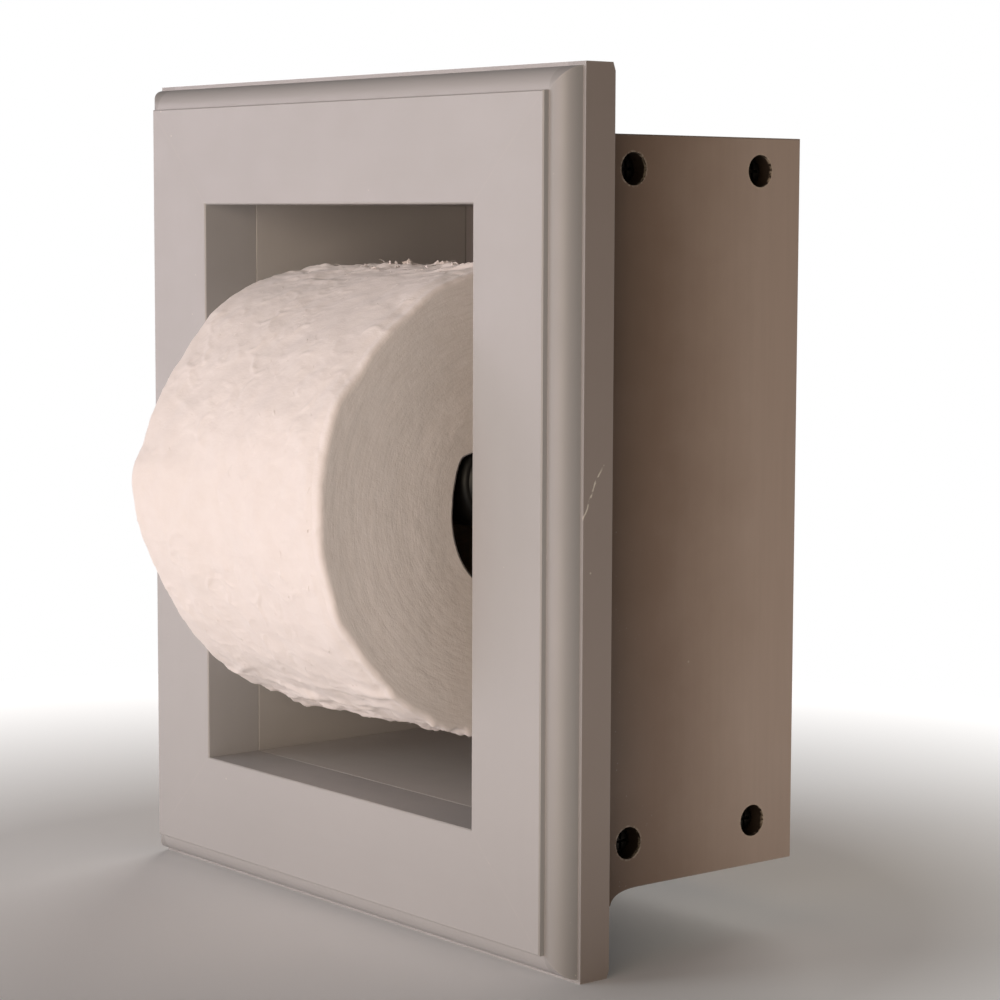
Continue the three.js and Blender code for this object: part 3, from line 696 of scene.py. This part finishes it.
class Crepe:
    """The tissue's surface relief in metres, on a grid around and along the roll: soft lumps and
    dents, fine wrinkles, and short curved ridges where the embossing has lifted."""

    STEPS_AROUND, STEPS_ALONG = 1376, 304
    # Bands of crumpled tissue: middle and spread in degrees round the roll, height in mm.
    RUFFLES = ((92, 15, 0.24), (281, 14, 0.34), (150, 25, 0.10))
    RIDGES = 880
    # Folds along the roll: middle and spread in degrees, how many, and the tallest in mm.
    FOLDS = ((94, 13, 60, 0.75), (284, 11, 50, 0.85), (0, 70, 90, 0.15))
    FOLD_REACH = (40, 120)

    def __init__(self, rng):
        self.shape = (self.STEPS_AROUND, self.STEPS_ALONG)
        self.relief = self.soft_relief(rng)
        for middle, spread, height in self.RUFFLES:
            self.relief += height * self.ruffle(rng, middle, spread)
        for _ in range(self.RIDGES):
            self.add_ridge(rng)
        for middle, spread, count, tall in self.FOLDS:
            for _ in range(count):
                self.add_fold(rng, middle, spread, tall)
        self.relief *= MM

    def noise(self, rng, cell):
        return smoothed_noise(self.shape, cell, rng, (True, False))

    def soft_relief(self, rng):
        lumps = self.noise(rng, (90, 80))
        dents = self.noise(rng, (30, 26))
        fine = self.noise(rng, (9, 12))
        wrinkles = np.exp(-((self.noise(rng, (14, 22)) / 0.16) ** 2))
        where = np.clip(self.noise(rng, (60, 50)), 0, 1)
        tiny = self.noise(rng, (4.5, 5))
        return 0.28 * lumps + 0.17 * dents + 0.045 * fine + 0.015 * tiny + 0.20 * wrinkles * where

    def ruffle(self, rng, middle, spread):
        degrees = np.arange(self.STEPS_AROUND)[:, None] * 360 / self.STEPS_AROUND
        share = np.exp(-(((degrees - middle + 180) % 360 - 180) / spread) ** 2)
        return share * (self.noise(rng, (13, 17)) + 0.6 * self.noise(rng, (6, 8)))

    def add(self, row, column, heights):
        """Adds a patch of heights centred on a row and column, round the roll and cut at its ends."""
        reach_i, reach_j = heights.shape[0] // 2, heights.shape[1] // 2
        di, dj = self.offsets(reach_i, reach_j)
        i, j = (row + di) % self.shape[0], column + dj
        inside = (j >= 0) & (j < self.shape[1])
        np.add.at(self.relief, (i[inside], j[inside]), heights[inside])

    def offsets(self, reach_i, reach_j):
        rows, columns = np.arange(-reach_i, reach_i + 1), np.arange(-reach_j, reach_j + 1)
        return np.meshgrid(rows, columns, indexing="ij")

    def add_ridge(self, rng):
        """A short curved ridge, or now and then a groove."""
        centre = rng.uniform((0, 0), self.shape)
        bend, width = rng.uniform(5, 20), rng.uniform(1.0, 2.2)
        middle, spread = rng.uniform(0, 2 * math.pi), rng.uniform(0.35, 1.3)
        height = rng.uniform(0.08, 0.32) * rng.choice((1, 1, -0.6))
        reach = int(bend + 4 * width)
        di, dj = self.offsets(reach, reach)
        off = np.hypot(di, dj) - bend
        turn = np.abs((np.arctan2(dj, di) - middle + math.pi) % (2 * math.pi) - math.pi)
        ridge = np.exp(-((off / width) ** 2)) / (1 + np.exp((turn - spread) * 9))
        self.add(int(centre[0]), int(centre[1]), height * ridge)

    def add_fold(self, rng, middle, spread, tall):
        """A long low fold that runs nearly along the roll."""
        row = int((rng.normal(middle, spread) % 360) / 360 * self.shape[0])
        column = int(rng.uniform(0, self.shape[1]))
        width, length = rng.uniform(3, 7), rng.uniform(18, 60)
        slant, height = rng.uniform(-0.35, 0.35), tall * rng.uniform(0.3, 1.0)
        di, dj = self.offsets(*self.FOLD_REACH)
        across = di + slant * dj + 4 * np.sin(dj / length * 2 + row)
        self.add(row, column, height * np.exp(-((across / width) ** 2) - (dj / length) ** 2))

    def at(self, angle, along):
        """Relief at an angle in radians and along = -1 (far end) to 1 (near end)."""
        i = (angle / (2 * math.pi) % 1) * self.STEPS_AROUND
        j = np.clip((along + 1) / 2, 0, 1) * (self.STEPS_ALONG - 1)
        i0, j0 = np.floor(i).astype(int) % self.STEPS_AROUND, np.floor(j).astype(int)
        i1, j1 = (i0 + 1) % self.STEPS_AROUND, np.minimum(j0 + 1, self.STEPS_ALONG - 1)
        fi, fj = i % 1, j - j0
        top = self.relief[i0, j0] * (1 - fj) + self.relief[i0, j1] * fj
        bottom = self.relief[i1, j0] * (1 - fj) + self.relief[i1, j1] * fj
        return top * (1 - fi) + bottom * fi


def roll_surface(angle, x):
    """Radius of the wound paper at an angle and x, with its relief."""
    along = x / ROLL_HALF
    share = np.clip((along + 1) / 2, 0, 1)
    round_error = around(NEAR_END, angle) * share + around(FAR_END, angle) * (1 - share)
    return ROLL_RADIUS - 0.3 * MM + round_error + crepe.at(angle, along)


def on_roll(x, radius, angle):
    """Points in the part's frame from a place along, out from and around the roll's axis."""
    return np.stack([
        ROLL_CENTRE.x + x,
        ROLL_CENTRE.y - radius * np.cos(angle),
        ROLL_CENTRE.z + radius * np.sin(angle),
    ], -1)


def wound_roll():
    """The wound paper: one closed surface, from the bore over one end face, the outside and the
    other end face back to the bore, with its turns and waves as real relief."""
    rng = np.random.default_rng(SEED)
    face_rings, outer_rows, edge = 74, 132, 1.9 * MM
    inner_edge = 0.8 * MM
    bend = np.linspace(0, math.pi / 2, 8)
    # Each row: x from the middle, how far out through the turns (0 to 1), metres in from the rim.
    rows = [
        (-ROLL_HALF + inner_edge * (1 - math.sin(b)), 0, -inner_edge * (1 - math.cos(b)))
        for b in bend[:-1]
    ]
    rows += [(-ROLL_HALF, share, 0) for share in np.linspace(0, 1, face_rings)[:-1]]
    rows += [(-ROLL_HALF + edge * (1 - math.cos(b)), 1, edge * (1 - math.sin(b))) for b in bend[:-1]]
    rows += [(x, 1, 0) for x in np.linspace(-ROLL_HALF + edge, 0, outer_rows // 2)[:-1]]
    far = np.array(rows)
    near = far[::-1] * (-1, 1, 1)
    lap = CORE_WALL + 0.05 * MM
    deep = ROLL_HALF - CORE_RECESS + 0.1 * MM
    bore = [(deep, 0, -inner_edge)]
    bore += [(x, 0, lap - inner_edge) for x in np.linspace(deep - 0.1 * MM, -deep + 0.1 * MM, 9)]
    bore += [(-deep, 0, -inner_edge)]
    profile = np.concatenate([far, [(0, 1, 0)], near, bore])
    count = len(profile)
    angle = np.repeat(np.linspace(0, 2 * math.pi, AROUND, endpoint=False)[None, :], count, 0)
    x = np.repeat(profile[:, :1], AROUND, 1)
    share = np.repeat(profile[:, 1:2], AROUND, 1)
    inset = np.repeat(profile[:, 2:], AROUND, 1)

    bore_radius = CORE_OUTER - CORE_WALL + 0.1 * MM + inner_edge + around(BORE, angle)
    rim = roll_surface(angle, x)
    face_rim = np.where(np.abs(x) > ROLL_HALF - 1e-6, rim - edge, rim)
    radius = np.where(share < 1, bore_radius + share * (face_rim - bore_radius) + inset, rim - inset)

    at_mouth = (share < 1) & (x > deep - 0.05 * MM)
    radius = radius - around(MOUTH, angle) * at_mouth * np.clip(1 - share / 0.2, 0, 1) ** 2

    # End faces: the turns stand at slightly different heights, and wave a little near the core.
    size = (count, AROUND)
    turns = smoothed_noise(size, (1.5, 230), rng, (False, True)) * 0.012 * MM
    drift = smoothed_noise(size, (30, 150), rng, (False, True)) * 0.16 * MM
    waves = smoothed_noise(size, (8, 22), rng, (False, True)) * 0.035 * MM
    nicks = smoothed_noise(size, (4, 9), rng, (False, True)) * 0.020 * MM
    on_face = np.where(share < 1, np.clip(share * 12, 0, 1) * (inset >= 0), np.clip(inset / edge, 0, 1))
    near_core = (1 - share) ** 2
    relief = turns + drift + waves * (0.25 + 1.6 * near_core) + nicks
    x = x - np.sign(x) * on_face * np.abs(relief + 0.25 * MM)

    faces = grid_faces(count, AROUND, closed_rows=True, closed_columns=True)
    piece = add_object("paper_wound_roll", on_roll(x, radius, angle).reshape(-1, 3), faces, tissue_roll)
    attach(piece, "roll")
    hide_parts("paper_roll")


def outer_turn():
    """The loose outer turn: a thin sheet from the top of the roll down over its front, bulging
    at the far end, to a torn free end that hangs a little below the roll."""
    rng = np.random.default_rng(SEED + 1)
    down, across = 330, 132
    start, end = math.radians(97), math.radians(-85)
    thickness = 0.30 * MM
    u = np.linspace(0, 1, down)[:, None]
    v = np.linspace(-1, 1, across)[None, :]
    torn = smoothed_noise((1, across), (1, 8), rng)[0] * 1.2
    torn = torn + smoothed_noise((1, across), (1, 2.2), rng)[0] * 0.6
    tear = np.radians(torn + 2.5 * np.clip(v[0], 0, 1))
    angle = start + u * (end - start) + np.clip(u * 12 - 11, 0, 1) * tear[None, :]
    side_wander = smoothed_noise((down, 1), (9, 1), rng) * 0.16 * MM
    x = np.where(v > 0, v * (ROLL_HALF - 1.6 * MM), v * (ROLL_HALF - 0.2 * MM))
    x = x - np.clip(-v, 0, 1) ** 8 * side_wander
    near_edge = np.clip((v - 0.90) / 0.10, 0, 1)
    degrees = np.degrees(angle)
    far = np.clip(0.05 - v * 0.95, 0, 1) ** 1.5
    bulge_height, bulge_top, bulge_foot = 3.1 * MM, 9.5, -13
    rise = 1 / (1 + np.exp(-(bulge_top - degrees) / 1.5))
    fall = 1 / (1 + np.exp(-(degrees - bulge_foot) / 4.6))
    bulge = bulge_height * rise * fall * far
    far_edge = np.clip(-v * 1.8 - 0.25, 0, 1)
    peel = np.clip((-degrees - 62) / 22, 0, 1) ** 2
    lift = MM * (0.15 + peel * (0.35 + 2.1 * far_edge))
    sink = np.clip((degrees - 84) / 13, 0, 1)
    flutter = smoothed_noise((down, across), (16, 10), rng) * 0.14 * MM
    flutter = flutter * np.clip((-degrees - 45) / 30, 0, 1)
    rounding = np.clip((-v - 0.962) / 0.038, 0, 1) ** 2 * 0.9 * MM
    inner = roll_surface(angle, x) + bulge + lift * (1 - near_edge) + flutter * (1 - near_edge)
    inner = inner - np.maximum(sink, near_edge) * 0.6 * MM - rounding
    outside = on_roll(x, inner + thickness, angle).reshape(-1, 3)
    inside = on_roll(x * 0.9985, inner, angle).reshape(-1, 3)
    outer_faces = grid_faces(down, across)
    inner_faces = grid_faces(down, across, offset=down * across)[:, ::-1]
    rim = np.concatenate([
        np.arange(across),
        np.arange(1, down) * across + across - 1,
        (down - 1) * across + np.arange(across - 2, -1, -1),
        np.arange(down - 2, 0, -1) * across,
    ])
    after = np.roll(rim, -1)
    shift = down * across
    edge_faces = np.stack([after, rim, rim + shift, after + shift], 1)
    faces = np.concatenate([outer_faces, inner_faces, edge_faces])[:, ::-1]
    piece = add_object("paper_outer_turn", np.concatenate([outside, inside]), faces, tissue_roll)
    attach(piece, "roll")
    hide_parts("paper_outer_sheet")


# Loose fibres and flakes: ranges of degrees round the roll, place along it from -1 to 1, length or
# size in mm, for flakes also their height in mm, and then how many.
STRANDS = (
    ((-170, 180), (-0.97, 0.97), (0.8, 2.2), 240),
    ((80, 100), (-0.7, 0.9), (1.0, 2.6), 110),
    ((-92, -76), (-0.95, 0.5), (1.0, 2.8), 90),
    ((-95, 100), (0.955, 0.985), (0.6, 1.5), 170),
)
FLAKES = (
    ((-180, 180), (-0.93, 0.93), (0.4, 0.9), (0.04, 0.10), 170),
    ((82, 98), (-0.6, 0.8), (0.5, 1.0), (0.2, 0.6), 34),
)
# Tufts on the roll's top: place along it, and size in mm.
TOP_TUFTS = ((-0.12, 1.9), (0.10, 2.0), (0.16, 1.7), (0.46, 1.8), (0.62, 2.6))


def fibre_strands(rng, points, faces):
    """Short curled fibres that stand off the roll's surface, as thin three-sided rods."""
    steps, thin = 6, 0.055 * MM
    spots = [
        (rng.uniform(*degrees), rng.uniform(*along), rng.uniform(*length))
        for degrees, along, length, count in STRANDS
        for _ in range(count)
    ]
    for degrees, along, length in spots:
        angle, x = math.radians(degrees), along * ROLL_HALF
        base = float(roll_surface(np.array([angle]), np.array([x]))[0])
        base += 0.40 * MM if -84 < degrees < 90 and along < 0.93 else 0.0
        base -= 1.0 * MM if along > 0.95 else 0.0
        centre = on_roll(x, base, angle)
        out = on_roll(x, base + 1, angle) - centre
        flat = rng.standard_normal(3)
        flat -= out * (flat @ out)
        flat /= np.linalg.norm(flat)
        bend = np.cross(out, flat) * rng.uniform(-0.5, 0.5)
        stand = rng.uniform(0.15, 0.75)
        first = len(points)
        for k in range(steps):
            t = k / (steps - 1)
            middle = centre + length * MM * (flat * t + bend * t * t + out * stand * (t - 0.45 * t * t))
            wide = thin * (1 - 0.6 * t)
            for c in range(3):
                a = 2 * math.pi * c / 3
                points.append(middle + wide * (math.cos(a) * out + math.sin(a) * np.cross(flat, out)))
        faces.append((first, first + 2, first + 1))
        for k in range(steps - 1):
            for c in range(3):
                n = (c + 1) % 3
                low, high = first + 3 * k, first + 3 * (k + 1)
                faces.append((low + c, high + n, high + c))
                faces.append((low + c, low + n, high + n))
        end = first + 3 * (steps - 1)
        faces.append((end, end + 1, end + 2))


def lint():
    """Flakes, tufts, torn rags and short fibres that stand off the tissue, in one piece."""
    rng = np.random.default_rng(SEED + 2)
    points, faces = [], []
    flakes = [
        (rng.uniform(*degrees), rng.uniform(*along), rng.uniform(*size), rng.uniform(*tall))
        for degrees, along, size, tall, count in FLAKES
        for _ in range(count)
    ]
    tufts = [
        (95 + rng.uniform(-2, 2), along + rng.uniform(-0.02, 0.02), size, size * rng.uniform(0.3, 0.8))
        for along, size in TOP_TUFTS
        for _ in range(4)
    ]
    rags = [
        (-86 + rng.uniform(-3, 3), rng.uniform(-0.06, 0.05), 2.3, rng.uniform(0.6, 1.7))
        for _ in range(8)
    ]
    rings, sides = 6, 8
    for degrees, along, size, tall in flakes + tufts + rags:
        angle, x = math.radians(degrees), along * ROLL_HALF
        base = float(roll_surface(np.array([angle]), np.array([x]))[0])
        if -84 < degrees < 92:
            base += 0.45 * MM
        centre = on_roll(x, base, angle)
        out = on_roll(x, base + 1, angle) - centre
        lengthwise = np.array([1.0, 0, 0])
        sideways = np.cross(out, lengthwise)
        turn = rng.uniform(0, 2 * math.pi)
        a = math.cos(turn) * lengthwise + math.sin(turn) * sideways
        b = np.cross(out, a)
        stretch = MM * np.array([size * rng.uniform(0.5, 1.5), size * rng.uniform(0.18, 0.5), tall])
        first = len(points)
        latitude = np.linspace(-math.pi / 2, math.pi / 2, rings + 2)[1:-1]
        points.append(centre - out * stretch[2])
        for lat in latitude:
            wobble = 1 + 0.35 * rng.standard_normal(sides)
            for k in range(sides):
                lon = 2 * math.pi * k / sides
                p = stretch[0] * math.cos(lat) * math.cos(lon) * a
                p = p + stretch[1] * math.cos(lat) * math.sin(lon) * b
                points.append(centre + p * wobble[k] + out * stretch[2] * (math.sin(lat) + 0.3))
        points.append(centre + out * stretch[2] * 1.6)
        last = len(points) - 1
        for k in range(sides):
            n = (k + 1) % sides
            faces.append((first, first + 1 + n, first + 1 + k))
            for i in range(rings - 1):
                low, high = first + 1 + i * sides, first + 1 + (i + 1) * sides
                faces.append((low + k, low + n, high + n))
                faces.append((low + k, high + n, high + k))
            top = first + 1 + (rings - 1) * sides
            faces.append((top + k, top + n, last))
    fibre_strands(rng, points, faces)
    piece = add_object("paper_lint", points, faces, fluff(), smooth=False)
    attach(piece, "roll")


def core_tube():
    """The cardboard core: a soft tube, squashed out of round, with its wound seam as a groove."""
    rows, sides = 120, 288
    half = ROLL_HALF - CORE_RECESS
    turn = np.linspace(0, 2 * math.pi, sides, endpoint=False)
    along = np.linspace(-half, half, rows)
    squash = around(BORE, turn)
    inner, outer = CORE_OUTER - CORE_WALL + squash, CORE_OUTER + squash
    surfaces = []
    for x in along:
        phase = (turn / (2 * math.pi) - x / (62 * MM)) % 0.5
        groove = 0.12 * MM * np.exp(-((phase - 0.25) / 0.006) ** 2)
        surfaces.append(on_roll(np.full(sides, x), inner + groove, turn))
    for x in along[::-1]:
        surfaces.append(on_roll(np.full(sides, x), outer, turn))
    faces = grid_faces(2 * rows, sides, closed_rows=True, closed_columns=True)[:, ::-1]
    piece = add_object("core_tube", np.concatenate(surfaces), faces, cardboard())
    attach(piece, "roll")
    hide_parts("roll_core")


crepe = Crepe(np.random.default_rng(SEED + 3))
tissue_roll = tissue()
wound_roll()
outer_turn()
lint()
core_tube()


# ---- Camera, light and floor -----------------------------------------------------------------


FLOOR_RADIUS = 0.44
FLOOR_FADE = (0.20, 0.41)
FLOOR_GLOW = (0.02, 0.72)


def stage_floor():
    """A small pale disc that fades into the white backdrop around it."""
    sides = 96
    turn = np.linspace(0, 2 * math.pi, sides, endpoint=False)
    rim = FLOOR_RADIUS * np.stack([np.cos(turn), np.sin(turn), np.zeros(sides)], 1)
    rim[:, 2] = cad_box[0].z
    s = Shader("pale_floor")
    s.set(Base_Color=(0.88, 0.88, 0.88), Roughness=0.95, Specular_IOR_Level=0.1)
    away = s.add("ShaderNodeVectorMath", operation="LENGTH")
    s.put(away.inputs[0], s.place)
    s.set(Emission_Color=(1.0, 1.0, 1.0))
    s.set(Emission_Strength=s.ramp(away.outputs["Value"], *FLOOR_FADE, *FLOOR_GLOW))
    floor = add_object("floor", rim, [tuple(range(sides))], s.material, smooth=False)


def area_light(name, place, target, size, power, colour):
    light = bpy.data.lights.new(name, "AREA")
    light.shape, light.size, light.size_y = "RECTANGLE", size[0], size[1]
    light.energy, light.color = power, colour
    obj = bpy.data.objects.new(name, light)
    obj.location = place
    aim = Vector(target) - Vector(place)
    obj.rotation_euler = aim.to_track_quat("-Z", "Y").to_euler()
    bpy.context.scene.collection.objects.link(obj)


# Name, place, target, size, power and colour. A fit to levels measured in the photo gave the first
# powers and colours, which were then changed.
LIGHTS = (
    ("left", (-2.7, -1.5, 0.4), (0, 0, 0), (1.5, 1.5), 16.4, (1.0, 0.86, 0.94)),
    ("key", (-1.5, -2.6, 0.7), (0, 0, 0), (1.5, 1.5), 25.2, (0.98, 1.0, 1.0)),
    ("front", (0.5, -2.8, 0.1), (0, 0, 0), (1.6, 1.6), 27.0, (1.0, 0.78, 0.77)),
    ("front_right", (1.7, -2.4, 0.3), (0, 0, 0), (1.5, 1.5), 24.5, (1.0, 0.84, 0.62)),
    ("behind", (-1.6, 2.6, 1.1), (0, 0, 0), (1.8, 1.8), 43.0, (1.0, 0.95, 0.90)),
)
DOME = (1.0, 0.95, 0.91)
DOME_STRENGTH = 0.08


def world_light():
    """A dim warm dome that lights the object, seen as plain white behind it."""
    world = bpy.data.worlds.new("studio")
    bpy.context.scene.world = world
    world.use_nodes = True
    nodes, links = world.node_tree.nodes, world.node_tree.links
    nodes.clear()
    dome, backdrop = nodes.new("ShaderNodeBackground"), nodes.new("ShaderNodeBackground")
    dome.inputs["Color"].default_value = (*DOME, 1)
    dome.inputs["Strength"].default_value = DOME_STRENGTH
    backdrop.inputs["Color"].default_value = (1, 1, 1, 1)
    backdrop.inputs["Strength"].default_value = 1.0
    path, mix = nodes.new("ShaderNodeLightPath"), nodes.new("ShaderNodeMixShader")
    output = nodes.new("ShaderNodeOutputWorld")
    links.new(path.outputs["Is Camera Ray"], mix.inputs[0])
    links.new(dome.outputs[0], mix.inputs[1])
    links.new(backdrop.outputs[0], mix.inputs[2])
    links.new(mix.outputs[0], output.inputs["Surface"])


CAMERA_PLACE = Vector((0.652905, -0.486317, 0.081355))
CAMERA_TURN = (50.903, 5.766, 0.21)
LENS, SENSOR = 99.856, 36.0


def photo_camera():
    """Stands where the holder is seen from its front right, slightly above. Its place, its turn in
    degrees (azimuth, elevation, roll) and its lens come from a fit to the photo."""
    azimuth, elevation, roll = (math.radians(degrees) for degrees in CAMERA_TURN)
    back = Vector((
        math.sin(azimuth) * math.cos(elevation),
        -math.cos(azimuth) * math.cos(elevation),
        math.sin(elevation),
    ))
    right = (-back).cross(Vector((0, 0, 1))).normalized()
    up = right.cross(-back)
    right, up = (
        math.cos(roll) * right + math.sin(roll) * up,
        -math.sin(roll) * right + math.cos(roll) * up,
    )
    camera = bpy.data.cameras.new("camera")
    camera.lens, camera.sensor_width = LENS, SENSOR
    obj = bpy.data.objects.new("camera", camera)
    place = CAMERA_PLACE
    obj.matrix_world = Matrix((
        (right.x, up.x, back.x, place.x),
        (right.y, up.y, back.y, place.y),
        (right.z, up.z, back.z, place.z),
        (0, 0, 0, 1),
    ))
    bpy.context.scene.collection.objects.link(obj)
    bpy.context.scene.camera = obj


stage_floor()
world_light()
photo_camera()
for light_name, place, target, size, power, colour in LIGHTS:
    area_light(light_name, place, target, size, power, colour)
bpy.context.scene.view_settings.view_transform = "Standard"
